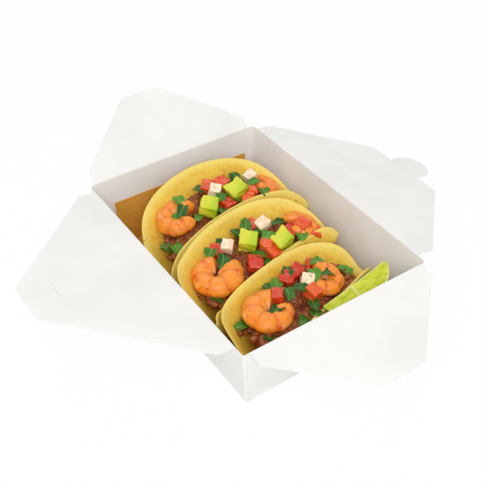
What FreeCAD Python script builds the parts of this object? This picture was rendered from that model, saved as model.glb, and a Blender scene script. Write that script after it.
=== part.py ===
"""Folded paperboard takeout food box, open, with a kraft liner and three filled tacos.

The origin is the centre of the box's bottom, on the table. X runs along the long side and Z is up.
The locking flap is hinged on the +Y side and the plain flap on the -Y side. Millimetres throughout.
"""
import FreeCAD, Part
import math
import os

from FreeCAD import Vector

os.makedirs("parts", exist_ok=True)

# Tray, folded from one sheet
top_length = 215.9
top_width = 158.75
base_length = 196.85
base_width = 139.7
box_height = 63.5
card = 0.5
rim_corner_radius = 2.5
base_corner_radius = 1.2

# Corner webs, folded flat and glued to the outside of the end walls
web_layers = 2
web_reach = 64.0
web_below_fold = 2.5

# Lid creases. The flaps close one on the other, so each pair has its own level.
lid_step = 0.6
fold_gap = 0.15
end_axis_z = box_height - lid_step
plain_axis_z = box_height - 2 * lid_step
wall_below_axis = card / 2 + fold_gap

# End flaps: half length of the crease, straight side, reach and half width of the tip
end_flap_half = 74.0
end_flap_side = 12.0
end_flap_reach = 65.0
end_flap_tip_half = 17.4
end_flap_corner = 2.5
rear_flap_tilt = 28.0
front_flap_tilt = -5.7

# Plain side flap and its slit for the tab
plain_flap_half = 98.5
plain_flap_side = 13.4
plain_flap_reach = 98.6
plain_flap_tip_half = 17.7
plain_flap_tilt = 7.7
slit_length = 34.0
slit_width = 0.3

# Locking side flap and its round tab
locking_flap_half = 100.5
locking_flap_side = 14.3
locking_flap_reach = 82.5
locking_flap_tip_half = 38.3
locking_flap_tilt = -10.9
side_flap_corner = 3.0
tab_radius = 16.5
tab_centre_out = 6.7
tab_centre_along = 0.5

# Kraft liner, a floor with two upright ends
liner_card = 0.6
liner_width = 129.0
liner_height = 40.5
liner_clearance = 0.3
liner_shift = 3.0

# Tortillas. Each is folded off its middle, so the far wing is the longer one, and is turned by yaw
# about the middle of its fold. end_rise is how much the fold lifts towards both ends, left_rise how
# much more it lifts at the -Y end, tip is the slope of the whole taco along its fold, and the margins
# are how far the filling's top stays below the two edges.
tortilla_thickness = 2.0
tortilla_fold_radius = 7.0
seat_gap = 0.1
fold_bottom_z = card + liner_card + seat_gap + tortilla_thickness / 2
section_count = 13
section_end_angle = 86.0
section_angles = [math.radians(section_end_angle * (2 * index / (section_count - 1) - 1))
                  for index in range(section_count)]
wing_steps = 5
fold_crowding = 1.6
left_rise_power = 5
tacos = {
    1: {"fold_x": -17.3, "shift": 2.2, "yaw": 6.4, "half_width": 71.0, "half_height": 73.5,
        "off_middle": 17.1, "roundness": 2.34, "far_lean": 53.2, "near_lean": -34.3, "end_rise": 17.1,
        "left_rise": 5.4, "tip": 0.102, "far_margin": 20.0, "near_margin": 13.0},
    2: {"fold_x": 38.0, "shift": -2.7, "yaw": 13.7, "half_width": 71.0, "half_height": 63.6,
        "off_middle": 17.5, "roundness": 2.41, "far_lean": 51.0, "near_lean": -29.3, "end_rise": 23.5,
        "left_rise": 20.9, "tip": 0.097, "far_margin": 18.0, "near_margin": 10.0},
    3: {"fold_x": 79.6, "shift": -2.2, "yaw": 14.0, "half_width": 67.8, "half_height": 52.5,
        "off_middle": 12.5, "roundness": 2.58, "far_lean": 47.6, "near_lean": 2.4, "end_rise": 25.7,
        "left_rise": 12.8, "tip": -0.003, "far_margin": 14.0, "near_margin": 5.0},
}

# Filling. Its top slopes down at both ends, but never lower than filling_floor of a wing.
filling_crown = 3.0
filling_end_slope = 30.0
filling_end_power = 6
filling_floor = 0.3
filling_first_section = 2
filling_steps = 2
filling_gap = 0.1

# Shrimp: a curl that tapers from head to tail, all in shares of its size across.
# Each is (along, share, lift, size, first angle, way round).
shrimp_section_count = 9
shrimp_section_sides = 12
shrimp_sweep = 300.0
shrimp_curl_share = 0.31
shrimp_head_share = 0.19
shrimp_tail_share = 0.12
shrimps = {
    1: [(-30, 0.31, 5.0, 38.0, 85, 1), (50, 0.33, 4.0, 30.0, 180, -1)],
    2: [(-32, 0.38, 5.0, 42.0, 110, -1), (52, 0.42, 5.0, 30.5, 235, -1)],
    3: [(-25, 0.46, 5.0, 41.0, 125, 1), (28, 0.63, 5.0, 32.0, 190, -1)],
}

# Toppings: a side or a size, and for each taco the places as (along, share, lift)
avocado_side = 13.5
avocado_places = {
    1: [(-5, 0.59, 7), (24, 0.54, 6.5)],
    2: [(6, 0.39, 8), (27, 0.73, 8)],
}
onion_side = 9.5
onion_places = {
    1: [(9, 0.38, 8), (46, 0.09, 6)],
    2: [(-9, 0.21, 9), (28, 0.23, 7)],
    3: [(16, 0.50, 7)],
}
tomato_side = 10.5
tomato_places = {
    1: [(10, 0.14, 4), (22, 0.20, 4), (36, 0.61, 5), (10, 0.69, 4), (28, 0.74, 3)],
    2: [(-16, 0.10, 5), (22, 0.10, 4), (16, 0.62, 5), (16, 0.78, 4), (-2, 0.72, 3), (49, 0.61, 9),
        (54, 0.70, 5), (39, 0.60, 4)],
    3: [(11, 0.16, 4), (21, 0.16, 4), (-12, 0.40, 9), (11, 0.72, 7), (33, 0.27, 5)],
}
herb_length = 12.0
herb_width = 9.0
herb_thickness = 0.8
herb_places = {
    1: [(-22, 0.12, 12), (-28, 0.36, 12), (-34, 0.35, 8), (1, 0.12, 6), (9, 0.58, 8), (35, 0.11, 5),
        (39, 0.48, 9), (18, 0.72, 6), (-52, 0.27, 2), (-46, 0.57, 1.2), (-16, 0.60, 4), (1, 0.71, 6),
        (40, 0.70, 9)],
    2: [(8, 0.06, 5), (16, 0.10, 8.7), (-22, 0.07, 9), (-8, 0.06, 6), (-20, 0.36, 12), (-26, 0.37, 12),
        (22, 0.52, 8), (39, 0.33, 6), (20, 0.35, 6), (40, 0.87, 10), (2, 0.68, 6), (4, 0.78, 5),
        (-46, 0.61, 2)],
    3: [(-6, 0.08, 4), (0, 0.13, 5), (12, 0.13, 8.5), (4, 0.54, 9), (-8, 0.51, 12), (24, 0.21, 6),
        (33, 0.36, 10), (30, 0.66, 10.3), (52, 0.51, 0.6), (22, 0.52, 10), (-24, 0.57, 10), (-46, 0.13, 2),
        (-40, 0.76, 0.8), (3, 0.86, 6), (0, 0.94, 3), (-9, 0.94, 2)],
}
golden_turn = 137.5
topping_lean = 18.0
lean_pace = 1.7
size_swing = 0.12
size_pace = 2.1
die_flatness = 0.9
herb_first_turn = 3

# Shape of a torn leaf, as shares of its half length and half width
herb_outline = [(-1, 0), (-0.5, 1), (0.33, 0.8), (1, 0), (0.25, -1), (-0.7, -0.7)]

# Lime wedge: its thin edge runs from a tip near the front right corner towards -Y
lime_length = 62.0
lime_radius = 18.5
lime_angle = 60.0
lime_tip = (top_length / 2 - 24.3, top_width / 2 - 16.4, box_height - 9.0)
lime_yaw = 5.0
lime_pitch = 8.0
lime_first_face = 18.0


def taper_x(z):
    """Outside half length of the tray at height z."""
    return base_length / 2 + (top_length - base_length) / 2 * z / box_height


def taper_y(z):
    """Outside half width of the tray at height z."""
    return base_width / 2 + (top_width - base_width) / 2 * z / box_height


def rounded_rectangle(half_x, half_y, radius, z):
    """Closed wire of a rectangle with round corners."""
    edges = []
    centres = [(1, 1), (-1, 1), (-1, -1), (1, -1)]
    points = []
    for turn, (sx, sy) in enumerate(centres):
        centre = Vector(sx * (half_x - radius), sy * (half_y - radius), z)
        for step in (0.0, 0.5, 1.0):
            angle = math.radians(90 * (turn + step))
            points.append(centre + Vector(math.cos(angle), math.sin(angle), 0) * radius)
    for turn in range(4):
        start, middle, end = points[3 * turn:3 * turn + 3]
        edges.append(Part.Arc(start, middle, end).toShape())
        edges.append(Part.LineSegment(end, points[(3 * turn + 3) % 12]).toShape())
    return Part.Wire(edges)


def tray_prism(inset, z_low, z_high):
    """Tapered block of the tray's outline, drawn in by inset on every side."""
    wires = []
    for z in (z_low, z_high):
        share = z / box_height
        radius = base_corner_radius + (rim_corner_radius - base_corner_radius) * share - inset
        wires.append(rounded_rectangle(taper_x(z) - inset, taper_y(z) - inset, radius, z))
    return Part.makeLoft(wires, True, True)


def extruded(points, direction):
    """Solid of a flat polygon pushed along a direction."""
    return Part.Face(Part.makePolygon(points + [points[0]])).extrude(direction)


def corner_web(side_x, side_y):
    """Two layers of card, folded flat on the outside of an end wall."""
    top_z = end_axis_z - wall_below_axis - web_below_fold
    thickness = web_layers * card
    low = Vector(side_x * taper_x(0), side_y * (taper_y(0) - base_corner_radius), 0)
    high = Vector(side_x * taper_x(top_z), side_y * (taper_y(top_z) - rim_corner_radius), top_z)
    inner = high - Vector(0, side_y * (web_reach - rim_corner_radius), 0)
    low_in = low - Vector(0, side_y * card, 0)
    return extruded([low, high, inner, low_in], Vector(side_x * thickness, 0, 0))


def make_tray():
    """Bottom and walls, with each wall's top edge just under its own crease."""
    tall = 2 * box_height
    tray = tray_prism(0, 0, box_height).cut(tray_prism(card, card, box_height + 1))
    for side_x in (-1, 1):
        for side_y in (-1, 1):
            tray = tray.fuse(corner_web(side_x, side_y))
    trims = [
        (-tall, -tall, 2 * tall, 2 * tall, box_height - wall_below_axis),
        (top_length / 2 - rim_corner_radius, -tall, tall, 2 * tall, end_axis_z - wall_below_axis),
        (-top_length / 2 + rim_corner_radius - tall, -tall, tall, 2 * tall, end_axis_z - wall_below_axis),
        (-tall, -top_width / 2 + rim_corner_radius - tall, 2 * tall, tall, plain_axis_z - wall_below_axis),
    ]
    for x, y, length, width, z in trims:
        tray = tray.cut(Part.makeBox(length, width, tall, Vector(x, y, z)))
    return tray.removeSplitter()


def rounded_outline(corners):
    """Closed wire through (along, out, radius) corners, each rounded by its radius."""
    count = len(corners)
    edges = []
    joins = []
    for index, (along, out, radius) in enumerate(corners):
        here = Vector(along, out, 0)
        before = Vector(*corners[index - 1][:2], 0) - here
        after = Vector(*corners[(index + 1) % count][:2], 0) - here
        before.normalize()
        after.normalize()
        if radius == 0:
            joins.append((here, here))
            continue
        half = before.getAngle(after) / 2
        start = here + before * (radius / math.tan(half))
        end = here + after * (radius / math.tan(half))
        bisector = before + after
        bisector.normalize()
        middle = here + bisector * (radius / math.sin(half) - radius)
        edges.append(Part.Arc(start, middle, end).toShape())
        joins.append((start, end))
    for index in range(count):
        edges.append(Part.LineSegment(joins[index][1], joins[(index + 1) % count][0]).toShape())
    return Part.Wire(Part.__sortEdges__(edges))


def flat_flap(half, side, reach, tip_half, corner):
    """Flap lying flat: its crease is the local X axis and it reaches along local Y."""
    outline = rounded_outline([
        (-half, 0, 0), (half, 0, 0), (half, side, corner), (tip_half, reach, corner),
        (-tip_half, reach, corner), (-half, side, corner),
    ])
    plate = Part.Face(outline).extrude(Vector(0, 0, card))
    plate.translate(Vector(0, 0, -card / 2))
    root = Part.makeCylinder(card / 2, 2 * half, Vector(-half, 0, 0), Vector(1, 0, 0))
    return plate.fuse(root).removeSplitter()


def place_flap(flap, tilt, heading, axis_point):
    """Tilt a flat flap about its crease, turn it to its side and move it to the rim."""
    flap.rotate(Vector(0, 0, 0), Vector(1, 0, 0), tilt)
    flap.rotate(Vector(0, 0, 0), Vector(0, 0, 1), heading)
    flap.translate(axis_point)
    return flap


def make_end_flap(side_x, tilt):
    flap = flat_flap(end_flap_half, end_flap_side, end_flap_reach, end_flap_tip_half, end_flap_corner)
    return place_flap(flap, tilt, -90 * side_x, Vector(side_x * top_length / 2, 0, end_axis_z))


def make_plain_flap():
    """Side flap that closes first, with a slit where the tab's neck comes to lie."""
    flap = flat_flap(plain_flap_half, plain_flap_side, plain_flap_reach, plain_flap_tip_half,
                     side_flap_corner)
    slit_out = top_width - locking_flap_reach
    corner = Vector(-slit_length / 2 - tab_centre_along, slit_out - slit_width / 2, -card)
    flap = flap.cut(Part.makeBox(slit_length, slit_width, 2 * card, corner))
    return place_flap(flap, plain_flap_tilt, 180, Vector(0, -top_width / 2, plain_axis_z))


def make_locking_flap():
    """Side flap that closes last, with the round tab on its tip."""
    flap = flat_flap(locking_flap_half, locking_flap_side, locking_flap_reach, locking_flap_tip_half,
                     side_flap_corner)
    centre = Vector(tab_centre_along, locking_flap_reach + tab_centre_out, -card / 2)
    tab = Part.makeCylinder(tab_radius, card, centre)
    flap = flap.fuse(tab).removeSplitter()
    return place_flap(flap, locking_flap_tilt, 0, Vector(0, top_width / 2, box_height))


def make_liner():
    """Folded kraft card: one profile of floor and two leaning ends, as wide as the sheet."""
    lean = (top_length - base_length) / 2 / box_height
    floor_z = card
    low = taper_x(floor_z) - card - liner_clearance
    high = low + lean * (liner_height - floor_z)
    y = liner_shift - liner_width / 2
    outer = [Vector(-high, y, liner_height), Vector(-low, y, floor_z), Vector(low, y, floor_z),
             Vector(high, y, liner_height)]
    inner_low = low - liner_card + lean * liner_card
    inner = [Vector(high - liner_card, y, liner_height), Vector(inner_low, y, floor_z + liner_card),
             Vector(-inner_low, y, floor_z + liner_card), Vector(-high + liner_card, y, liner_height)]
    return extruded(outer + inner, Vector(0, liner_width, 0))


def fold_point(taco, distance, offset):
    """Point of a tortilla's cross-section, as (across, height), with across measured from the fold.

    distance runs along the middle of the tortilla from the bottom of its fold, negative up the far
    wing. offset is measured from that middle line towards the inside of the fold.
    """
    lean = taco["far_lean"] if distance < 0 else taco["near_lean"]
    side = -1 if distance < 0 else 1
    swept = math.radians(90 - lean)
    turn = min(abs(distance) / tortilla_fold_radius, swept)
    straight = abs(distance) - tortilla_fold_radius * turn
    inner_radius = tortilla_fold_radius - offset
    across = side * (inner_radius * math.sin(turn) + straight * math.cos(turn))
    height = tortilla_fold_radius - inner_radius * math.cos(turn) + straight * math.sin(turn)
    return across, fold_bottom_z + height


def wing_lengths(taco, angle):
    """Far and near wing lengths and the place along the fold, for a station of the outline."""
    power = 2 / taco["roundness"]
    across = taco["half_height"] * abs(math.cos(angle)) ** power
    along = taco["half_width"] * math.copysign(abs(math.sin(angle)) ** power, angle)
    off_middle = taco["off_middle"] * abs(math.cos(angle)) ** power
    return across + off_middle, across - off_middle, along


def rise(taco, along):
    """How much the fold lies above the liner at one place along the taco.

    The ends curl up and the whole taco is tipped, and its lowest place rests on the liner.
    """
    curl = taco["end_rise"] / taco["half_width"] ** 3
    lowest = math.sqrt(abs(taco["tip"]) / (3 * curl))
    left_share = max(-along / taco["half_width"], 0)
    return (curl * abs(along) ** 3 + taco["left_rise"] * left_share ** left_rise_power
            + taco["tip"] * along + abs(taco["tip"]) * lowest * 2 / 3)


def placed(taco, across, along, height):
    """Place in the box of a point that is given in the taco's own directions."""
    yaw = math.radians(taco["yaw"])
    x = taco["fold_x"] + across * math.cos(yaw) - along * math.sin(yaw)
    y = taco["shift"] + across * math.sin(yaw) + along * math.cos(yaw)
    return Vector(x, y, height + rise(taco, along))


def section_wire(taco, outline, along):
    """Closed wire of (across, height) points at one place along the fold."""
    points = [placed(taco, across, along, height) for across, height in outline]
    return Part.makePolygon(points + [points[0]])


def wing_stations(far, near, steps):
    """Distances along both wings, far one first and closer at the fold, for the first few steps."""
    shares = [(step / wing_steps) ** fold_crowding for step in range(1, steps + 1)]
    return [-far * share for share in reversed(shares)] + [0.0] + [near * share for share in shares]


def make_tortilla(taco):
    """Disc of even thickness, folded round the fold radius into two flat wings."""
    wires = []
    half = tortilla_thickness / 2
    for angle in section_angles:
        far, near, along = wing_lengths(taco, angle)
        stations = wing_stations(far, near, wing_steps)
        outline = [fold_point(taco, distance, -half) for distance in stations]
        outline += [fold_point(taco, distance, half) for distance in reversed(stations)]
        wires.append(section_wire(taco, outline, along))
    return Part.makeLoft(wires, True, True)


def wing_lengths_at(taco, along):
    """Far and near wing lengths at a place along the fold."""
    share = min(abs(along) / taco["half_width"], 1.0)
    angle = math.asin(share ** (taco["roundness"] / 2))
    far, near, _ = wing_lengths(taco, angle)
    return far, near


def filling_edges(taco, far, near, along):
    """Where the filling's top meets the far and the near wing, as (across, height)."""
    offset = tortilla_thickness / 2 + filling_gap
    slope = filling_end_slope * (abs(along) / taco["half_width"]) ** filling_end_power
    far_edge = fold_point(taco, -max(far - taco["far_margin"] - slope, far * filling_floor), offset)
    near_edge = fold_point(taco, max(near - taco["near_margin"] - slope, near * filling_floor), offset)
    return far_edge, near_edge


def on_filling(taco, along, share, lift):
    """Place over the filling: share runs from the far wing (0) to the near one (1), lift is upwards."""
    (far_x, far_z), (near_x, near_z) = filling_edges(taco, *wing_lengths_at(taco, along), along)
    crown = filling_crown * (1 - abs(2 * share - 1))
    across = far_x + share * (near_x - far_x)
    height = far_z + share * (near_z - far_z) + crown + lift
    return placed(taco, across, along, height)


def make_filling(taco):
    """Filling that fills the fold up to a line between the two wings, a little crowned."""
    wires = []
    offset = tortilla_thickness / 2 + filling_gap
    for angle in section_angles[filling_first_section:section_count - filling_first_section]:
        far, near, along = wing_lengths(taco, angle)
        (far_x, far_z), (near_x, near_z) = filling_edges(taco, far, near, along)
        stations = wing_stations(far, near, filling_steps)
        outline = [(far_x, far_z)] + [fold_point(taco, distance, offset) for distance in stations]
        outline += [(near_x, near_z), ((far_x + near_x) / 2, (far_z + near_z) / 2 + filling_crown)]
        wires.append(section_wire(taco, outline, along))
    return Part.makeLoft(wires, True, True)


def surface_turn(taco, along, share):
    """Rotation that lays a flat thing on the filling's top at one place."""
    reach_along = 2.0
    reach_across = 0.1
    across = (on_filling(taco, along, share + reach_across, 0)
              - on_filling(taco, along, share - reach_across, 0))
    onward = on_filling(taco, along + reach_along, share, 0) - on_filling(taco, along - reach_along, share, 0)
    return FreeCAD.Rotation(Vector(0, 0, 1), across.cross(onward))


def ring(centre, outward, radius):
    """Closed wire of a regular polygon in the plane of outward and the local Z."""
    points = []
    for side in range(shrimp_section_sides):
        angle = 2 * math.pi * side / shrimp_section_sides
        points.append(centre + outward * (radius * math.cos(angle))
                      + Vector(0, 0, radius * math.sin(angle)))
    return Part.makePolygon(points + [points[0]])


def make_shrimp(taco, along, share, lift, size, first_angle, way):
    """Curled body with nearly round sections that shrink from head to tail."""
    wires = []
    for index in range(shrimp_section_count):
        part = index / (shrimp_section_count - 1)
        angle = math.radians(first_angle + way * shrimp_sweep * part)
        shrunk = (shrimp_head_share - shrimp_tail_share) * part
        outward = Vector(math.cos(angle), math.sin(angle), 0)
        centre = outward * (size * (shrimp_curl_share - shrunk * part))
        wires.append(ring(centre, outward, size * (shrimp_head_share - shrunk)))
    curl = Part.makeLoft(wires, True, True)
    place = on_filling(taco, along, share, lift)
    curl.Placement = FreeCAD.Placement(place, surface_turn(taco, along, share))
    return curl


def scatter_turn(index):
    """Turn and lean of one loose piece, different for each."""
    yaw = golden_turn * (index + 1)
    lean = topping_lean * math.sin(math.radians(yaw) * lean_pace)
    return FreeCAD.Rotation(yaw, lean, -lean / 2)


def own_size(size, index):
    """Size of one loose piece, none quite the same."""
    return size * (1 + size_swing * math.sin(index * size_pace))


def make_die(taco, place, side, index):
    """Cut cube of a vegetable."""
    length = own_size(side, index)
    height = side * die_flatness
    die = Part.makeBox(length, side, height, Vector(-length / 2, -side / 2, -height / 2))
    die.Placement = FreeCAD.Placement(on_filling(taco, *place), scatter_turn(index))
    return die


def make_herb(taco, place, index):
    """Torn scrap of leaf."""
    half_length = own_size(herb_length, index) / 2
    half_width = herb_width / 2
    outline = [Vector(half_length * x, half_width * y, 0) for x, y in herb_outline]
    leaf = extruded(outline, Vector(0, 0, herb_thickness))
    leaf.Placement = FreeCAD.Placement(on_filling(taco, *place), scatter_turn(index + herb_first_turn))
    return leaf


def settled(piece, carriers):
    """Piece with whatever lies under and beside it cut away, so that the two meet face to face."""
    near = [carrier for carrier in carriers if piece.BoundBox.intersect(carrier.BoundBox)]
    if near:
        piece = piece.cut(near)
    return max(piece.Solids, key=lambda solid: solid.Volume)


def make_taco(number, taco):
    """All the nodes of one taco, by name."""
    tortilla = make_tortilla(taco)
    nodes = {"tortilla": [tortilla]}
    laid = []

    def lay(name, pieces, beside=()):
        for piece in pieces:
            solid = settled(piece, laid + list(beside))
            laid.append(solid)
            nodes.setdefault(name, []).append(solid)

    lay("shrimp", [make_shrimp(taco, *shrimp) for shrimp in shrimps[number]], [tortilla])
    for name, side, places in (("avocado_dice", avocado_side, avocado_places),
                               ("onion_dice", onion_side, onion_places),
                               ("tomato_dice", tomato_side, tomato_places)):
        dice = [make_die(taco, place, side, index) for index, place in enumerate(places.get(number, []))]
        lay(name, dice, [tortilla])
    herbs = [make_herb(taco, place, index) for index, place in enumerate(herb_places[number])]
    lay("herb_leaves", herbs, [tortilla])
    nodes["meat_filling"] = [settled(make_filling(taco), laid)]
    return {f"{name}_{number}": Part.makeCompound(solids) for name, solids in nodes.items()}


def make_lime():
    """Wedge cut lengthwise: half an ellipse turned about its own long axis."""
    half = lime_length / 2
    ellipse = Part.Ellipse(Vector(0, 0, 0), half, lime_radius)
    arc = Part.ArcOfEllipse(ellipse, math.pi, 2 * math.pi).toShape()
    core = Part.LineSegment(arc.Vertexes[-1].Point, arc.Vertexes[0].Point).toShape()
    face = Part.Face(Part.Wire([arc, core]))
    wedge = face.revolve(Vector(0, 0, 0), Vector(1, 0, 0), lime_angle)
    wedge.translate(Vector(-half, 0, 0))
    wedge.rotate(Vector(0, 0, 0), Vector(1, 0, 0), lime_first_face)
    wedge.rotate(Vector(0, 0, 0), Vector(0, 1, 0), -lime_pitch)
    wedge.rotate(Vector(0, 0, 0), Vector(0, 0, 1), 90 + lime_yaw)
    wedge.translate(Vector(*lime_tip))
    return wedge


def main():
    nodes = {
        "tray": make_tray(),
        "rear_end_flap": make_end_flap(-1, rear_flap_tilt),
        "front_end_flap": make_end_flap(1, front_flap_tilt),
        "plain_side_flap": make_plain_flap(),
        "locking_side_flap": make_locking_flap(),
        "kraft_liner": make_liner(),
        "lime_wedge": make_lime(),
    }
    for number, taco in tacos.items():
        nodes.update(make_taco(number, taco))
    for name, shape in nodes.items():
        shape.exportStep(f"parts/{name}.step")


main()
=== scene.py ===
import math

import bmesh
import bpy
import numpy as np
from mathutils import Matrix, Vector, noise


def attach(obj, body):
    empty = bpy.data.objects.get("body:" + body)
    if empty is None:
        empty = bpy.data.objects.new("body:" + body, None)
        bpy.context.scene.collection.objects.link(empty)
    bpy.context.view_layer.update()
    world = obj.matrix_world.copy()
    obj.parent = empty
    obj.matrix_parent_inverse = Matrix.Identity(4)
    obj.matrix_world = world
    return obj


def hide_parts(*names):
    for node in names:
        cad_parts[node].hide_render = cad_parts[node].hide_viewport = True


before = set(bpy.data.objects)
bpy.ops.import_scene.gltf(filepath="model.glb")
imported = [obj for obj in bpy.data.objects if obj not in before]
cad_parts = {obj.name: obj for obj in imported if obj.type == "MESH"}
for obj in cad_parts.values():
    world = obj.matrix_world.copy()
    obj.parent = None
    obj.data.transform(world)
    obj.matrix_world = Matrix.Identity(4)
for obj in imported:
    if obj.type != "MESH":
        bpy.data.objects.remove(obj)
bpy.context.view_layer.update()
scene = bpy.context.scene
MM = 0.001


# The view: one camera above the box's front left corner, looking down into it.
# Its angles come from the box's own edges, so the folds fall where they do in the picture.
VIEW_PLACE = (0.3884, -0.2749, 0.4536)
VIEW_TURN, VIEW_TILT, VIEW_ROLL = 55.2626, 49.1537, 0.4020
VIEW_LENS = 60.495
VIEW_NEAR = 0.01

camera = bpy.data.objects.new("view", bpy.data.cameras.new("view"))
scene.collection.objects.link(camera)
camera.data.lens = VIEW_LENS
camera.data.clip_start = VIEW_NEAR
turn = Matrix.Rotation(math.radians(VIEW_TURN), 4, "Z") @ Matrix.Rotation(math.radians(VIEW_TILT), 4, "X")
camera.matrix_world = (Matrix.Translation(VIEW_PLACE) @ turn
                       @ Matrix.Rotation(math.radians(VIEW_ROLL), 4, "Z"))
scene.camera = camera


# The table and the light: a pale seamless table top under soft, even studio light.
# A bright sky and two large softboxes, the stronger one in front, leave only soft shadows inside the box.
def linear(red, side_shade_share, blue):
    """Colour of a swatch, given as it looks on screen, in the units that the shader works in."""
    shares = [value / 255 for value in (red, side_shade_share, blue)]
    return tuple(s / 12.92 if s <= 0.04045 else ((s + 0.055) / 1.055) ** 2.4 for s in shares) + (1.0,)


class Tone:
    """A socket of a material. Sums on tones add the nodes that work them out."""

    def __init__(self, socket):
        self.socket = socket
        self.tree = socket.id_data

    @staticmethod
    def add(tree, kind, settings=None, sockets=None, output=0):
        """Any node: its type, its settings, then the values or tones that go into its sockets."""
        node = tree.nodes.new("ShaderNode" + kind)
        for name, value in (settings or {}).items():
            setattr(node, name, value)
        for name, value in (sockets or {}).items():
            if isinstance(value, Tone):
                tree.links.new(value.socket, node.inputs[name])
            else:
                node.inputs[name].default_value = value
        return Tone(node.outputs[output])

    def _sum(self, operation, *values):
        return Tone.add(self.tree, "Math", {"operation": operation}, dict(enumerate(values)))

    def __add__(self, other):
        return self._sum("ADD", self, other)

    def __sub__(self, other):
        return self._sum("SUBTRACT", self, other)

    def __mul__(self, other):
        return self._sum("MULTIPLY", self, other)

    __radd__ = __add__

    def band(self, low, high):
        """0 below low and 1 above high, smooth between. With low above high it runs the other way."""
        return Tone.add(self.tree, "MapRange", {"interpolation_type": "SMOOTHSTEP"},
                        {0: self, 1: low, 2: high, 3: 0.0, 4: 1.0})

    def blend(self, first, second):
        """Colour that goes from the first to the second as this tone goes from 0 to 1."""
        return Tone.add(self.tree, "Mix", {"data_type": "RGBA"}, {0: self, 6: first, 7: second}, 2)


class Finish:
    """A material of the box or of the meal, with the patterns that its surface needs."""

    def __init__(self, name, roughness=0.5, **fixed):
        self.material = bpy.data.materials.new(name)
        self.material.use_nodes = True
        self.tree = self.material.node_tree
        self.surface = self.tree.nodes["Principled BSDF"]
        self.place = self.add("TexCoord", output=3)
        self.set("Roughness", roughness)
        for socket, value in fixed.items():
            self.set(socket.replace("_", " "), value)

    def add(self, kind, settings=None, sockets=None, output=0):
        return Tone.add(self.tree, kind, settings, sockets, output)

    def set(self, socket, value):
        if isinstance(value, Tone):
            self.tree.links.new(value.socket, self.surface.inputs[socket])
        else:
            self.surface.inputs[socket].default_value = value

    def cloud(self, size, detail=3.0, stretch=(1.0, 1.0, 1.0)):
        """Soft noise with patches about as wide as size, in metres."""
        place = self.add("VectorMath", {"operation": "MULTIPLY"}, {0: self.place, 1: stretch})
        return self.add("TexNoise", None, {"Vector": place, "Scale": 1.0 / size, "Detail": detail})

    def cells(self, size):
        """Distance from the middle of cells about as wide as size, in metres."""
        return self.add("TexVoronoi", None, {"Vector": self.place, "Scale": 1.0 / size})

    def mark(self, name):
        """A number that the mesh carries at each point."""
        return self.add("Attribute", {"attribute_name": name}, None, 2)

    def relief(self, height, depth):
        """Small bumps, depth metres high where height is 1."""
        self.set("Normal", self.add("Bump", None, {"Height": height, "Distance": depth, "Strength": 1.0}))


TABLE_HALF = 3.0
TABLE_WHITE = linear(250, 250, 250)
TABLE_GLOW = 0.93
SKY_STRENGTH = 0.66
WHITE = (1.0, 1.0, 1.0, 1.0)
# Place, power and width of each softbox
SOFTBOXES = {"softbox_front": ((0.88, -0.59, 1.06), 9.0, 0.9), "softbox_back": ((-0.9, 0.4, 1.4), 3.5, 1.0)}

table_mesh = bpy.data.meshes.new("table")
corners = ((-1, -1), (1, -1), (1, 1), (-1, 1))
table_mesh.from_pydata([(x * TABLE_HALF, y * TABLE_HALF, 0.0) for x, y in corners], [], [(0, 1, 2, 3)])
table = bpy.data.objects.new("table", table_mesh)
scene.collection.objects.link(table)

table_finish = Finish("white_table", 0.9, Base_Color=TABLE_WHITE)
path = table_finish.tree.nodes.new("ShaderNodeLightPath")
seen = Tone(path.outputs["Is Camera Ray"]) + Tone(path.outputs["Is Glossy Ray"])
glow = table_finish.add("Emission", None, {"Color": WHITE, "Strength": 1.0})
plain = Tone(table_finish.surface.outputs[0])
mixed = table_finish.add("MixShader", None, {0: seen * TABLE_GLOW, 1: plain, 2: glow})
table_finish.tree.links.new(mixed.socket, table_finish.tree.nodes["Material Output"].inputs["Surface"])
table_mesh.materials.append(table_finish.material)

world = bpy.data.worlds.new("studio")
scene.world = world
world.use_nodes = True
world_tree = world.node_tree
background = world_tree.nodes["Background"]
sight = world_tree.nodes.new("ShaderNodeLightPath")
shown = Tone(sight.outputs["Is Camera Ray"])
world_tree.links.new((shown * (1.0 - SKY_STRENGTH) + SKY_STRENGTH).socket, background.inputs["Strength"])
background.inputs["Color"].default_value = WHITE

for name, (place, power, size) in SOFTBOXES.items():
    lamp = bpy.data.objects.new(name, bpy.data.lights.new(name, "AREA"))
    scene.collection.objects.link(lamp)
    lamp.data.energy = power
    lamp.data.size = size
    lamp.location = place
    lamp.rotation_euler = (-Vector(place)).to_track_quat("-Z", "Y").to_euler()
scene.view_settings.view_transform = "Standard"


# Tray and lid flaps: one sheet of white paperboard, creased and folded up, with the corner webs
# glued to the outside of the end walls. The sheet is smooth, with a faint fibre and faint grey patches.
CARD_WHITE = linear(245, 244, 241)
CARD_SHADE = linear(240, 238, 233)

card = Finish("white_paperboard", 0.62, Specular_IOR_Level=0.3)
fibre = card.cloud(0.004, 5.0, (1.0, 1.6, 1.0))
mottle = card.cloud(0.045, 2.0)
card.set("Base Color", mottle.band(0.35, 0.7).blend(CARD_WHITE, CARD_SHADE))
card.relief(fibre * 0.6 + mottle * 0.4, 0.00012)

for node in ("tray", "rear_end_flap", "front_end_flap", "plain_side_flap", "locking_side_flap"):
    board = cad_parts[node]
    board.data.materials.clear()
    board.data.materials.append(card.material)


# Kraft liner: a loose sheet of brown unbleached card with two upright ends. It has a slight sheen,
# visible fibres, and darker patches where it took up grease from the meal.
KRAFT = linear(230, 168, 70)
KRAFT_DARK = linear(212, 146, 52)

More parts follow.
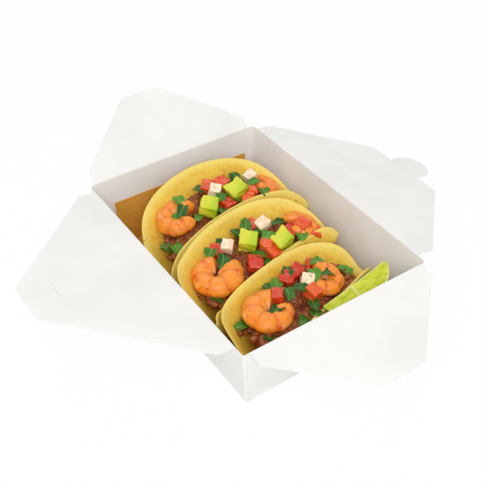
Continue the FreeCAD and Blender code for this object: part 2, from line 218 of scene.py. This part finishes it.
kraft = Finish("brown_kraft_card", 0.48, Specular_IOR_Level=0.4)
strands = kraft.cloud(0.0025, 6.0, (1.0, 0.35, 1.0))
grease = kraft.cloud(0.03, 3.0)
kraft.set("Base Color", (strands * 0.5 + grease * 0.5).band(0.38, 0.66).blend(KRAFT, KRAFT_DARK))
kraft.set("Roughness", grease.band(0.4, 0.65) * -0.12 + 0.52)
kraft.relief(strands, 0.00015)
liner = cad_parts["kraft_liner"]
liner.data.materials.clear()
liner.data.materials.append(kraft.material)


# Tortillas: three soft corn tortillas, each a thin pressed disc folded off its middle round the filling.
# The rim is thin, with a painted highlight along its edge, and painted shade darkens each face towards the
# fold. The faces are golden, with random toasted and paler blotches, dimpled, and specked with bran and
# griddle marks.
# In TACOS the margins are how far the filling's top stays below the two edges of the tortilla.
TORTILLA_THICKNESS = 2.0
LEFT_RISE_POWER = 5
FOLD_RADIUS = 7.0
FOLD_BOTTOM = 2.2
TACOS = {
    1: {"fold_x": -17.3, "shift": 2.2, "yaw": 6.4, "half_width": 71.0, "half_height": 73.5,
        "off_middle": 17.1, "roundness": 2.34, "far_lean": 53.2, "near_lean": -34.3, "end_rise": 17.1,
        "left_rise": 5.4, "tip": 0.102, "far_margin": 20.0, "near_margin": 13.0},
    2: {"fold_x": 38.0, "shift": -2.7, "yaw": 13.7, "half_width": 71.0, "half_height": 63.6,
        "off_middle": 17.5, "roundness": 2.41, "far_lean": 51.0, "near_lean": -29.3, "end_rise": 23.5,
        "left_rise": 20.9, "tip": 0.097, "far_margin": 18.0, "near_margin": 10.0},
    3: {"fold_x": 79.6, "shift": -2.2, "yaw": 14.0, "half_width": 67.8, "half_height": 52.5,
        "off_middle": 12.5, "roundness": 2.58, "far_lean": 47.6, "near_lean": 2.4, "end_rise": 25.7,
        "left_rise": 12.8, "tip": -0.003, "far_margin": 14.0, "near_margin": 5.0},
}
RIM_STEPS = 160
RINGS = 46
RING_CROWDING = 0.85
RIM_ROUND = 7
RIM_WANDER, RIM_WANDER_PACE, RIM_WANDER_SEED = 0.010, 2.2, 7.0
BROAD_RIPPLE, BROAD_RIPPLE_WIDTH, BROAD_RIPPLE_SEED = 0.55, 21.0, 3.1
FINE_RIPPLE, FINE_RIPPLE_WIDTH, FINE_RIPPLE_SEED = 0.22, 7.0, 5.3


def folded(taco, distance, offset):
    """Cross-section of a folded tortilla: distance is measured round the fold from its lowest line."""
    side = np.where(distance < 0, -1.0, 1.0)
    swept = np.radians(90 - np.where(distance < 0, taco["far_lean"], taco["near_lean"]))
    turned = np.minimum(np.abs(distance) / FOLD_RADIUS, swept)
    straight = np.abs(distance) - FOLD_RADIUS * turned
    inner = FOLD_RADIUS - offset
    across = side * (inner * np.sin(turned) + straight * np.cos(turned))
    height = FOLD_RADIUS - inner * np.cos(turned) + straight * np.sin(turned)
    return across, FOLD_BOTTOM + height


def placed(taco, across, along, height):
    """Places in the box of points given in the taco's own directions. Its ends curl up and it is tipped."""
    curl = taco["end_rise"] / taco["half_width"] ** 3
    lowest = math.sqrt(abs(taco["tip"]) / (3 * curl))
    left = np.maximum(-along / taco["half_width"], 0)
    rise = (curl * np.abs(along) ** 3 + taco["left_rise"] * left ** LEFT_RISE_POWER
            + taco["tip"] * along + abs(taco["tip"]) * lowest * 2 / 3)
    yaw = math.radians(taco["yaw"])
    return np.stack([taco["fold_x"] + across * math.cos(yaw) - along * math.sin(yaw),
                     taco["shift"] + across * math.sin(yaw) + along * math.cos(yaw), height + rise], -1)


def waves(points, size, seed):
    """Smooth noise from -1 to 1 for each (a, b) pair, with waves about size long."""
    return np.array([noise.noise((a / size, b / size, seed)) for a, b in points])


def built(name, points, faces, finish, slot, body, nodes, **marks):
    """A piece of the object from points in millimetres, riding on its body in place of CAD nodes."""
    mesh = bpy.data.meshes.new(name)
    mesh.from_pydata((np.asarray(points, float) * MM).tolist(), [], faces)
    mesh.validate()
    mesh.polygons.foreach_set("use_smooth", [True] * len(mesh.polygons))
    for mark, values in marks.items():
        mesh.attributes.new(mark, "FLOAT", "POINT").data.foreach_set("value", np.asarray(values, np.float32))
    mesh.materials.append(finish.material)
    piece = bpy.data.objects.new(name, mesh)
    scene.collection.objects.link(piece)
    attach(piece, body)
    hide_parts(*nodes)
    return piece


def grid_faces(rows, columns, closed):
    """Faces of a net of points, row by row. A closed net joins its last column to its first."""
    faces = []
    for row in range(rows - 1):
        for column in range(columns if closed else columns - 1):
            after = (column + 1) % columns
            faces.append((row * columns + column, row * columns + after,
                          (row + 1) * columns + after, (row + 1) * columns + column))
    return faces


# The toast tone is also painted shade towards the fold, and the pale tone is also a painted highlight along
# the rim.
TORTILLA_GOLD = linear(238, 202, 78)
TORTILLA_PALE_AND_HIGHLIGHT = linear(246, 222, 118)
TORTILLA_TOAST_AND_SHADE = linear(212, 154, 26)
TORTILLA_SPECK = linear(168, 104, 34)

tortilla_finish = Finish("corn_tortilla", 0.68, Specular_IOR_Level=0.25, Subsurface_Weight=0.06,
                         Subsurface_Radius=(0.004, 0.002, 0.0008))
rim = tortilla_finish.mark("rim")
blotch = tortilla_finish.cloud(0.014, 4.0)
dimple = tortilla_finish.cloud(0.0035, 4.0)
speck = tortilla_finish.cells(0.008).band(0.17, 0.06) * tortilla_finish.cloud(0.02, 1.0).band(0.53, 0.60)
# Painted shade: the faces darken from the rim towards the middle of the disc, down in the fold; the blotches
# add random toasting.
fold_shade_and_toast = rim.band(0.97, 0.50) * 0.75 + (blotch * 0.7 + dimple * 0.3).band(0.42, 0.70) * 0.5
golden = fold_shade_and_toast.blend(TORTILLA_GOLD, TORTILLA_TOAST_AND_SHADE)
# Painted highlight: a paler band along the rim's edge; the blotches add random paler patches.
rim_highlight_and_pale = (rim.band(0.90, 0.985) * 0.9 + blotch.band(0.44, 0.30) * 0.15).blend(golden, TORTILLA_PALE_AND_HIGHLIGHT)
tortilla_finish.set("Base Color", (speck * 0.55).blend(rim_highlight_and_pale, TORTILLA_SPECK))
tortilla_finish.relief(dimple * 0.7 + blotch * 0.6 - speck * 0.3, 0.0006)

for number, taco in TACOS.items():
    half = TORTILLA_THICKNESS / 2
    edge = half / taco["half_height"]
    rings = [(ring / RINGS) ** RING_CROWDING * (1 - edge) for ring in range(1, RINGS + 1)]
    section = [(share, half) for share in rings]
    for step in range(1, RIM_ROUND):
        turned = math.pi * step / RIM_ROUND
        section.append((1 - edge + edge * math.sin(turned), half * math.cos(turned)))
    section += [(share, -half) for share in reversed(rings)]
    shares, offsets = (np.array(column)[:, None] for column in zip(*section))
    angles = np.linspace(0, 2 * math.pi, RIM_STEPS, endpoint=False)[None, :]
    wander = 1 + RIM_WANDER * np.array([
        noise.noise((RIM_WANDER_PACE * math.cos(a), RIM_WANDER_PACE * math.sin(a), number * RIM_WANDER_SEED))
        for a in angles[0]])[None, :]
    power = 2 / taco["roundness"]
    across = np.abs(np.cos(angles)) ** power
    reach = np.where(np.cos(angles) < 0, -(taco["half_height"] + taco["off_middle"]),
                     taco["half_height"] - taco["off_middle"])
    distance = shares * across * reach * wander
    sideways = np.sin(angles)
    along = shares * taco["half_width"] * np.sign(sideways) * np.abs(sideways) ** power * wander
    flat = np.stack([distance.ravel(), along.ravel()], 1)
    flat = np.vstack([flat, [[0, 0], [0, 0]]])
    lift = np.append(np.broadcast_to(offsets, distance.shape).ravel(), [half, -half])
    ripple = (BROAD_RIPPLE * waves(flat, BROAD_RIPPLE_WIDTH, number * BROAD_RIPPLE_SEED)
              + FINE_RIPPLE * waves(flat, FINE_RIPPLE_WIDTH, number * FINE_RIPPLE_SEED))
    across, height = folded(taco, flat[:, 0], lift + ripple)
    points = placed(taco, across, flat[:, 1], height)
    faces = grid_faces(len(section), RIM_STEPS, True)
    top, bottom = len(points) - 2, len(points) - 1
    last = (len(section) - 1) * RIM_STEPS
    for column in range(RIM_STEPS):
        after = (column + 1) % RIM_STEPS
        faces.append((top, after, column))
        faces.append((bottom, last + column, last + after))
    rim_mark = np.append(np.broadcast_to(shares, distance.shape).ravel(), [0, 0])
    built(f"folded_tortilla_{number}", points, faces, tortilla_finish, "corn_tortilla", "box",
          [f"tortilla_{number}"], rim=rim_mark)


# Ground meat: browned mince pressed into each fold. It is a lumpy bed with loose crumbs on top,
# dark and a little oily, and shows where the toppings leave it bare.
CRUMBS = 130
CRUMB_SIZE, CRUMB_STRETCH = (1.3, 2.9), (0.7, 1.25)
CRUMB_ALONG, CRUMB_SHARE, CRUMB_LIFT = (-0.76, 0.82), (0.06, 0.94), (-1.2, 0.6)
CRUMB_LUMP, CRUMB_LUMP_DEPTH, CRUMB_SEEDS = 0.8, 0.5, (0, 50)
BED_GRAIN, BED_ROUNDS = 1.1, 2
BED_BUMP, BED_BUMP_WIDTH = 0.8, 3.2
BED_FINE_SHARE, BED_FINE_WIDTH = 0.6, 1.4
MEAT_LEFT_END = -42.0
MEAT_DRAWN_IN = 0.55
FILLING_CROWN = 3.0
FILLING_END_SLOPE, FILLING_END_POWER = 30.0, 6
FILLING_FLOOR = 0.3
FILLING_GAP = 0.1


def islands(node):
    """The separate solids of a CAD node, each as its points in millimetres and its faces."""
    mesh = bmesh.new()
    mesh.from_mesh(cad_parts[node].data)
    bmesh.ops.remove_doubles(mesh, verts=mesh.verts, dist=1e-6)
    mesh.verts.index_update()
    left = set(range(len(mesh.verts)))
    mesh.verts.ensure_lookup_table()
    found = []
    while left:
        first = min(left)
        group, edge = {first}, [first]
        while edge:
            for link in mesh.verts[edge.pop()].link_edges:
                for vert in link.verts:
                    if vert.index not in group:
                        group.add(vert.index)
                        edge.append(vert.index)
        left -= group
        order = {index: place for place, index in enumerate(sorted(group))}
        points = np.array([mesh.verts[index].co for index in sorted(group)]) / MM
        faces = [[order[vert.index] for vert in face.verts]
                 for face in mesh.faces if face.verts[0].index in group]
        found.append((points, faces))
    mesh.free()
    return found


def softened(points, faces, grain, rounds):
    """A solid built up again from cubes of one grain and smoothed, so that its edges are round."""
    mesh = bpy.data.meshes.new("soft")
    mesh.from_pydata(points.tolist(), [], faces)
    body = bpy.data.objects.new("soft", mesh)
    scene.collection.objects.link(body)
    remesh = body.modifiers.new("grain", "REMESH")
    remesh.mode = "VOXEL"
    remesh.voxel_size = grain
    smooth = body.modifiers.new("round", "SMOOTH")
    smooth.iterations = rounds
    smooth.factor = 0.5
    bpy.context.view_layer.update()
    made = body.evaluated_get(bpy.context.evaluated_depsgraph_get()).to_mesh()
    new_points = np.array([vert.co for vert in made.vertices])
    normals = np.array([vert.normal for vert in made.vertices])
    new_faces = [list(face.vertices) for face in made.polygons]
    body.to_mesh_clear()
    bpy.data.objects.remove(body)
    bpy.data.meshes.remove(mesh)
    return new_points, new_faces, normals


def joined(parts):
    """Several (points, faces) as one, with the number of the part at each point."""
    points, faces, numbers = [], [], []
    count = 0
    for number, (some, their) in enumerate(parts):
        points.append(some)
        faces += [[index + count for index in face] for face in their]
        numbers.append(np.full(len(some), number))
        count += len(some)
    return np.vstack(points), faces, np.concatenate(numbers)


def filling_edges(taco, along):
    """Where the filling's top meets the far and the near wing. It slopes down at both ends."""
    share = min(abs(along) / taco["half_width"], 1.0)
    across = abs(math.cos(math.asin(share ** (taco["roundness"] / 2)))) ** (2 / taco["roundness"])
    far = across * (taco["half_height"] + taco["off_middle"])
    near = across * (taco["half_height"] - taco["off_middle"])
    slope = FILLING_END_SLOPE * share ** FILLING_END_POWER
    offset = TORTILLA_THICKNESS / 2 + FILLING_GAP
    return (folded(taco, np.float64(-max(far - taco["far_margin"] - slope, far * FILLING_FLOOR)), offset),
            folded(taco, np.float64(max(near - taco["near_margin"] - slope, near * FILLING_FLOOR)), offset))


def on_filling(taco, along, share, lift):
    """Place over the filling: share runs from the far wing to the near one, lift is upwards."""
    (far_x, far_z), (near_x, near_z) = filling_edges(taco, along)
    crown = FILLING_CROWN * (1 - abs(2 * share - 1))
    return Vector(placed(taco, far_x + share * (near_x - far_x), along,
                         far_z + share * (near_z - far_z) + crown + lift))


def ball(rounds):
    """Points and faces of a unit ball."""
    mesh = bmesh.new()
    bmesh.ops.create_icosphere(mesh, subdivisions=rounds, radius=1.0)
    points = np.array([vert.co for vert in mesh.verts])
    faces = [[vert.index for vert in face.verts] for face in mesh.faces]
    mesh.free()
    return points, faces


def lumpy(points, size, depth, seed):
    """Points pushed out along their own direction by noise."""
    push = np.array([noise.noise(Vector(point) / size + Vector((seed, seed * 0.7, 0))) for point in points])
    return points * (1 + depth * push[:, None])


MEAT = linear(146, 74, 32)
MEAT_DARK = linear(92, 36, 14)
MEAT_LIGHT = linear(182, 108, 54)

meat = Finish("browned_mince", 0.42, Specular_IOR_Level=0.5, Subsurface_Weight=0.05,
              Subsurface_Radius=(0.003, 0.001, 0.0005))
grain = meat.cloud(0.0022, 5.0)
clump = meat.cells(0.0045)
browned = (grain * 0.6 + clump * 0.5).band(0.30, 0.70).blend(MEAT_LIGHT, MEAT)
meat.set("Base Color", (meat.cloud(0.009, 3.0).band(0.48, 0.66) * 0.8).blend(browned, MEAT_DARK))
meat.relief(grain * 0.8 - clump * 0.5, 0.0012)

random = np.random.default_rng(11)
crumb_points, crumb_faces = ball(2)
for number, taco in TACOS.items():
    bed = islands(f"meat_filling_{number}")[0]
    bed_points, bed_faces, bed_normals = softened(*bed, BED_GRAIN, BED_ROUNDS)
    bump = np.array([noise.noise(Vector(point) / BED_BUMP_WIDTH)
                     + BED_FINE_SHARE * noise.noise(Vector(point) / BED_FINE_WIDTH) for point in bed_points])
    bed_points = bed_points + bed_normals * (BED_BUMP * bump[:, None])
    beyond = np.maximum(MEAT_LEFT_END - bed_points[:, 1], 0)
    bed_points[:, 1] += MEAT_DRAWN_IN * beyond
    parts = [(bed_points, bed_faces)]
    for _ in range(CRUMBS):
        along = random.uniform(*CRUMB_ALONG) * taco["half_width"]
        size = random.uniform(*CRUMB_SIZE)
        place = on_filling(taco, along, random.uniform(*CRUMB_SHARE), random.uniform(*CRUMB_LIFT))
        stretch = random.uniform(*CRUMB_STRETCH, 3)
        seed = random.uniform(*CRUMB_SEEDS)
        crumb = lumpy(crumb_points * stretch, CRUMB_LUMP, CRUMB_LUMP_DEPTH, seed) * size
        parts.append((crumb + np.array(place), crumb_faces))
    points, faces, _ = joined(parts)
    built(f"mince_bed_{number}", points, faces, meat, "ground_meat", "box", [f"meat_filling_{number}"])


# Shrimp: two peeled, cooked shrimp on each taco. Each curls in on itself, tapers from head to tail,
# and has plump segments with reddened seams along the back and a paler belly inside the curl.
SHRIMP_CURL, SHRIMP_HEAD, SHRIMP_TAIL = 0.31, 0.19, 0.145
SHRIMP_SWEEP = 330.0
SHRIMP_PLUMP = 0.22
SHRIMP_SEGMENTS = 6
SEGMENT_WAIST, SEGMENT_SWELL = 0.90, 0.14
SEAM_WIDTH = 0.13
BLUNT_HEAD, BLUNT_TAIL, TIP_GIRTH = 0.05, 0.06, 0.02
VEIN_DEPTH, VEIN_PLACE, VEIN_WIDTH = 0.08, 0.55, 0.16
SHRIMP_FLATNESS = 0.94
SHRIMP_STEPS, SHRIMP_ROUND = 96, 36
SHRIMP_WOBBLE, SHRIMP_WOBBLE_WIDTH = 0.35, 5.0
LAY_SHARE, LAY_ALONG = 0.1, 2.0
# Along the fold, share of the way from the far wing, lift, size, first angle and way of the curl
SHRIMPS = {
    1: [(-30, 0.31, 5.0, 38.0, 85, 1), (50, 0.33, 4.0, 30.0, 180, -1)],
    2: [(-32, 0.38, 5.0, 42.0, 110, -1), (52, 0.42, 5.0, 30.5, 235, -1)],
    3: [(-25, 0.46, 5.0, 41.0, 125, 1), (28, 0.63, 5.0, 32.0, 190, -1)],
}
SHRIMP_ORANGE = linear(252, 152, 44)
SHRIMP_RED = linear(222, 84, 20)
SHRIMP_BELLY = linear(252, 200, 132)

shrimp_finish = Finish("cooked_shrimp", 0.30, Specular_IOR_Level=0.55, Subsurface_Weight=0.18,
                       Subsurface_Radius=(0.006, 0.0025, 0.001))
back = shrimp_finish.mark("back")
seam = shrimp_finish.mark("seam")
vein = shrimp_finish.cloud(0.004, 4.0)
mottle = shrimp_finish.cloud(0.009, 3.0)
flush = seam * (0.30 + vein.band(0.40, 0.60) * 0.30) + vein.band(0.50, 0.64) * mottle.band(0.40, 0.60) * 0.6
glossy = back.band(-1.0, -0.75) * mottle.band(0.80, 0.60)
flesh = glossy.blend(SHRIMP_BELLY, SHRIMP_ORANGE)
shrimp_finish.set("Base Color", flush.blend(flesh, SHRIMP_RED))
shrimp_finish.relief(vein, 0.0004)


def upright(taco, along, share):
    """Turn that lays a flat thing on the filling's top at one place."""
    across = on_filling(taco, along, share + LAY_SHARE, 0) - on_filling(taco, along, share - LAY_SHARE, 0)
    onward = on_filling(taco, along + LAY_ALONG, share, 0) - on_filling(taco, along - LAY_ALONG, share, 0)
    return Vector((0, 0, 1)).rotation_difference(across.cross(onward))


def shrimp_body(size, first_angle, way):
    """Points of one shrimp lying flat, and the marks that its colours follow."""
    part = np.linspace(0, 1, SHRIMP_STEPS)[:, None]
    angle = np.radians(first_angle + way * SHRIMP_SWEEP * part)
    shrunk = (SHRIMP_HEAD - SHRIMP_TAIL) * part
    radius = size * (SHRIMP_HEAD - shrunk)
    reach = size * (SHRIMP_CURL - shrunk * part)
    segment = part * SHRIMP_SEGMENTS
    inside = segment - np.floor(segment)
    swell = SEGMENT_WAIST + SEGMENT_SWELL * np.sin(math.pi * inside ** 0.7) ** 0.6
    ends = np.clip(part / BLUNT_HEAD, 0, 1) ** 0.5 * np.clip((1 - part) / BLUNT_TAIL, 0, 1) ** 0.5
    turned = np.linspace(0, 2 * math.pi, SHRIMP_ROUND, endpoint=False)[None, :]
    outward = np.cos(turned)
    girth = radius * (1 + (swell - 1) * (0.7 + 0.3 * outward)) * np.maximum(ends, TIP_GIRTH)
    groove = 1 - VEIN_DEPTH * np.exp(-((turned - VEIN_PLACE) / VEIN_WIDTH) ** 2)
    across = reach - SHRIMP_PLUMP * radius + girth * outward * (1 + SHRIMP_PLUMP) * groove
    height = girth * np.sin(turned) * SHRIMP_FLATNESS
    points = np.stack([np.cos(angle) * across, np.sin(angle) * across, height * np.ones_like(across)], -1)
    seam_mark = np.exp(-(np.minimum(inside, 1 - inside) / SEAM_WIDTH) ** 2) * np.ones_like(across)
    back_mark = outward * np.ones_like(across)
    return points.reshape(-1, 3), back_mark.ravel(), seam_mark.ravel()


for number, taco in TACOS.items():
    parts, backs, seams = [], [], []
    for along, share, lift, size, first_angle, way in SHRIMPS[number]:
        points, back_mark, seam_mark = shrimp_body(size, first_angle, way)
        lay = upright(taco, along, share).to_matrix()
        points[:, 2] += SHRIMP_WOBBLE * waves(points[:, :2], SHRIMP_WOBBLE_WIDTH, along * 0.37)
        laid = points @ np.array(lay).T + np.array(on_filling(taco, along, share, lift))
        faces = grid_faces(SHRIMP_STEPS, SHRIMP_ROUND, True)
        faces += [tuple(reversed(range(SHRIMP_ROUND))),
                  tuple((SHRIMP_STEPS - 1) * SHRIMP_ROUND + index for index in range(SHRIMP_ROUND))]
        parts.append((laid, faces if way > 0 else [face[::-1] for face in faces]))
        backs.append(back_mark)
        seams.append(seam_mark)
    points, faces, _ = joined(parts)
    built(f"curled_shrimp_{number}", points, faces, shrimp_finish, "cooked_shrimp", "box",
          [f"shrimp_{number}"], back=np.concatenate(backs), seam=np.concatenate(seams))


# Diced vegetables: wet tomato and onion and soft avocado, cut by hand, so that no two bits are alike.
# Each bit keeps the seat that it has among its neighbours, with rounded edges and its own tint.
DICE_GRAIN = 0.45
FINE_BUMP, FINE_BUMP_WIDTH, BROAD_BUMP_WIDTH = 0.4, 3.4, 8.0
# Direction in which every avocado bit turns greener, as painted shade on its sides; it is the same for every
# bit.
AVOCADO_SHADE_SIDE = (0.1, 0.08, -0.02)
TOMATO_RED, TOMATO_ORANGE, TOMATO_PULP = linear(206, 44, 22), linear(244, 102, 40), linear(246, 136, 84)
ONION_PALE, ONION_WARM = linear(252, 238, 208), linear(246, 214, 176)
AVOCADO_YELLOW, AVOCADO_SHADE_GREEN = linear(226, 224, 66), linear(172, 204, 16)
DICE = {
    "tomato": {"slot": "tomato", "tacos": (1, 2, 3), "rounds": 22, "depth": 1.5},
    "onion": {"slot": "onion", "tacos": (1, 2, 3), "rounds": 26, "depth": 1.3},
    "avocado": {"slot": "avocado", "tacos": (1, 2), "rounds": 16, "depth": 1.6},
}

tomato = Finish("diced_tomato", 0.22, Specular_IOR_Level=0.6, Subsurface_Weight=0.15,
                Subsurface_Radius=(0.005, 0.001, 0.0005))
pulp = tomato.cloud(0.003, 4.0)
ripe = tomato.mark("tint").blend(TOMATO_RED, TOMATO_ORANGE)
tomato.set("Base Color", (pulp.band(0.50, 0.72) * 0.5).blend(ripe, TOMATO_PULP))
tomato.relief(pulp, 0.0005)

onion = Finish("diced_onion", 0.25, Specular_IOR_Level=0.5, Subsurface_Weight=0.25,
               Subsurface_Radius=(0.006, 0.004, 0.003))
layers = onion.cloud(0.004, 2.0, (1.0, 1.0, 3.0))
onion.set("Base Color", layers.band(0.38, 0.62).blend(ONION_PALE, ONION_WARM))
onion.relief(layers, 0.0003)

avocado = Finish("diced_avocado", 0.42, Specular_IOR_Level=0.45, Subsurface_Weight=0.15,
                 Subsurface_Radius=(0.004, 0.004, 0.001))
butter = avocado.cloud(0.006, 3.0)
# Painted shade: every avocado bit turns green towards the same fixed side and stays yellow on the other, as
# light and shade on its faces; the butter noise adds random tone.
side_shade_share = avocado.mark("skin").band(-0.5, 0.9)
avocado.set("Base Color", (side_shade_share * 0.8 + butter.band(0.4, 0.7) * 0.2).blend(AVOCADO_YELLOW, AVOCADO_SHADE_GREEN))
avocado.relief(butter, 0.0003)
dice_finish = {"tomato": tomato, "onion": onion, "avocado": avocado}

for kind, dice in DICE.items():
    for number in dice["tacos"]:
        parts, skins = [], []
        for count, (points, faces) in enumerate(islands(f"{kind}_dice_{number}")):
            soft, soft_faces, normals = softened(points, faces, DICE_GRAIN, dice["rounds"])
            bump = FINE_BUMP * waves(soft[:, :2] + soft[:, 2:] * 0.7, FINE_BUMP_WIDTH, count * 2.3 + number)
            bump += waves(soft[:, :2] * 0.8 + soft[:, 2:], BROAD_BUMP_WIDTH, count * 5.1 + number)
            parts.append((soft + normals * (dice["depth"] * bump[:, None]), soft_faces))
            middle = soft.mean(0)
            skins.append((soft - middle) @ np.array(AVOCADO_SHADE_SIDE))
        points, faces, numbers = joined(parts)
        tint = np.random.default_rng(number).uniform(0, 1, len(parts))[numbers]
        built(f"cut_{kind}_{number}", points, faces, dice_finish[kind], dice["slot"], "box",
              [f"{kind}_dice_{number}"], tint=tint, skin=np.concatenate(skins))


# Herbs: torn scraps of fresh green leaf scattered over each taco.
# Each is a thin curled blade with a ragged outline and a paler rib, lying on what it fell on.
LEAF_RINGS, LEAF_ROUND = 7, 40
LEAF_THICKNESS = 0.8
LEAF_HALF_LENGTH, LEAF_HALF_WIDTH = (5.4, 7.0), (4.0, 5.2)
LEAF_LOBES, LEAF_CURL, LEAF_TWIST = (3, 6), (0.05, 0.11), (-0.06, 0.06)
LEAF_LOBE_DEPTH, LEAF_TOOTH_DEPTH, LEAF_DROOP = 0.11, 0.06, 0.03
HERB_DARK, HERB_LIGHT, HERB_RIB = linear(30, 82, 14), linear(88, 144, 36), linear(160, 200, 90)

herb = Finish("fresh_herb", 0.45, Specular_IOR_Level=0.4)
shade = herb.mark("tint")
rib = herb.mark("rib")
leaf_cloud = herb.cloud(0.004, 3.0)
leaf_green = (shade * 0.7 + leaf_cloud * 0.4).band(0.15, 0.95).blend(HERB_DARK, HERB_LIGHT)
herb.set("Base Color", (rib.band(0.12, 0.0) * 0.45).blend(leaf_green, HERB_RIB))
herb.relief(leaf_cloud, 0.0005)


def leaf_scrap(middle, flat_x, flat_y, normal, seed):
    """Points and faces of one scrap, and how far each point is from its rib."""
    random = np.random.default_rng(seed)
    length, width = random.uniform(*LEAF_HALF_LENGTH), random.uniform(*LEAF_HALF_WIDTH)
    lobes, phase = random.integers(*LEAF_LOBES), random.uniform(0, 6)
    curl, twist = random.uniform(*LEAF_CURL), random.uniform(*LEAF_TWIST)
    angles = np.linspace(0, 2 * math.pi, LEAF_ROUND, endpoint=False)
    ragged = (1 + LEAF_LOBE_DEPTH * np.cos(lobes * angles + phase)
              + LEAF_TOOTH_DEPTH * np.cos((2 * lobes + 1) * angles + phase * 2))
    points, ribs = [], []
    for side in (1, -1):
        for ring in range(LEAF_RINGS):
            share = ring / (LEAF_RINGS - 1) if ring else 0.02
            u = length * share * ragged * np.cos(angles)
            v = width * share * ragged * np.sin(angles)
            thin = LEAF_THICKNESS / 2 * math.sqrt(max(1 - share ** 4, 0.0)) * side
            w = curl * v ** 2 - LEAF_DROOP * u ** 2 + twist * u * v + thin
            points.append(middle + np.outer(u, flat_x) + np.outer(v, flat_y) + np.outer(w, normal))
            ribs.append(np.abs(v) / width)
    faces = []
    for side in (0, 1):
        base = side * LEAF_RINGS * LEAF_ROUND
        for face in grid_faces(LEAF_RINGS, LEAF_ROUND, True) + [tuple(range(LEAF_ROUND))[::-1]]:
            turned = face if side == 0 else face[::-1]
            faces.append([base + index for index in turned])
    return np.vstack(points), faces, np.concatenate(ribs)


for number in TACOS:
    parts, ribs = [], []
    for count, (points, _) in enumerate(islands(f"herb_leaves_{number}")):
        middle = points.mean(0)
        _, _, axes = np.linalg.svd(points - middle)
        normal = axes[2] if axes[2][2] > 0 else -axes[2]
        sideways = np.cross(normal, axes[0])
        scrap, faces, rib_mark = leaf_scrap(middle, axes[0], sideways, normal, number * 50 + count)
        parts.append((scrap, faces))
        ribs.append(rib_mark)
    points, faces, numbers = joined(parts)
    tint = np.random.default_rng(number + 9).uniform(0, 1, len(parts))[numbers]
    built(f"torn_herb_{number}", points, faces, herb, "herb", "box", [f"herb_leaves_{number}"],
          tint=tint, rib=np.concatenate(ribs))


# Lime wedge: a sixth of a lime cut lengthwise, standing between the last taco and the front wall.
# The two cut faces show juicy pulp between pale membranes, and the rind is waxy with fine pores.
LIME_LENGTH, LIME_RADIUS, LIME_ANGLE = 62.0, 18.5, 60.0
LIME_TIP = (83.65, 62.975, 54.5)
LIME_YAW, LIME_PITCH, LIME_FIRST_FACE = 5.0, 8.0, 18.0
LIME_STEPS, LIME_DEEP, LIME_ROUND = 60, 14, 16
LIME_CORE, LIME_SWELL, MEMBRANE_PLACE = 0.02, 0.25, 0.12
LIME_JUICE, LIME_PALE_JUICE, LIME_MEMBRANE = linear(186, 196, 18), linear(214, 218, 66), linear(238, 240, 170)
LIME_PITH, LIME_RIND = linear(236, 240, 176), linear(128, 186, 36)

lime = Finish("lime", 0.3, Specular_IOR_Level=0.5, Subsurface_Weight=0.2,
              Subsurface_Radius=(0.004, 0.005, 0.001))
depth = lime.mark("depth")
row = lime.mark("row")
pulp_lines = lime.cloud(0.0022, 3.0, (1.0, 0.3, 1.0))
juicy = pulp_lines.band(0.35, 0.65).blend(LIME_JUICE, LIME_PALE_JUICE)
membrane = row.band(0.05, 0.015) + depth.band(0.10, 0.03)
fleshy = (membrane * 0.6).blend(juicy, LIME_MEMBRANE)
pith = depth.band(0.86, 0.91).blend(fleshy, LIME_PITH)
lime.set("Base Color", depth.band(0.955, 0.975).blend(pith, LIME_RIND))
lime.relief(pulp_lines * 0.8 + lime.cells(0.0012) * 0.3, 0.0005)

bulge = {0.0: LIME_SWELL, LIME_ANGLE: -LIME_SWELL}
section = [(share / LIME_DEEP, 0.0) for share in range(1, LIME_DEEP)]
section += [(1.0, LIME_ANGLE * step / LIME_ROUND) for step in range(LIME_ROUND + 1)]
section += [(share / LIME_DEEP, LIME_ANGLE) for share in range(LIME_DEEP - 1, 0, -1)]
points, depths, rows = [], [], []
for step in range(LIME_STEPS + 1):
    run = -math.cos(math.pi * step / LIME_STEPS)
    girth = LIME_RADIUS * math.sqrt(max(1 - run * run, 1e-6))
    for share, angle in [(LIME_CORE, LIME_ANGLE / 2)] + section:
        turned = math.radians(angle + LIME_FIRST_FACE)
        swell = bulge.get(angle, 0.0) * math.sin(math.pi * share)
        points.append((run * LIME_LENGTH / 2 - LIME_LENGTH / 2, -girth * share * math.cos(turned),
                       -girth * share * math.sin(turned) - swell))
        depths.append(share)
        rows.append(abs(run + MEMBRANE_PLACE) if share < 1 else 1.0)
columns = len(section) + 1
faces = grid_faces(LIME_STEPS + 1, columns, True)
placing = (Matrix.Translation(LIME_TIP) @ Matrix.Rotation(math.radians(90 + LIME_YAW), 4, "Z")
           @ Matrix.Rotation(math.radians(-LIME_PITCH), 4, "Y"))
points = [placing @ Vector(point) for point in points]
built("cut_lime", points, faces, lime, "lime", "box", ["lime_wedge"], depth=depths, row=rows)
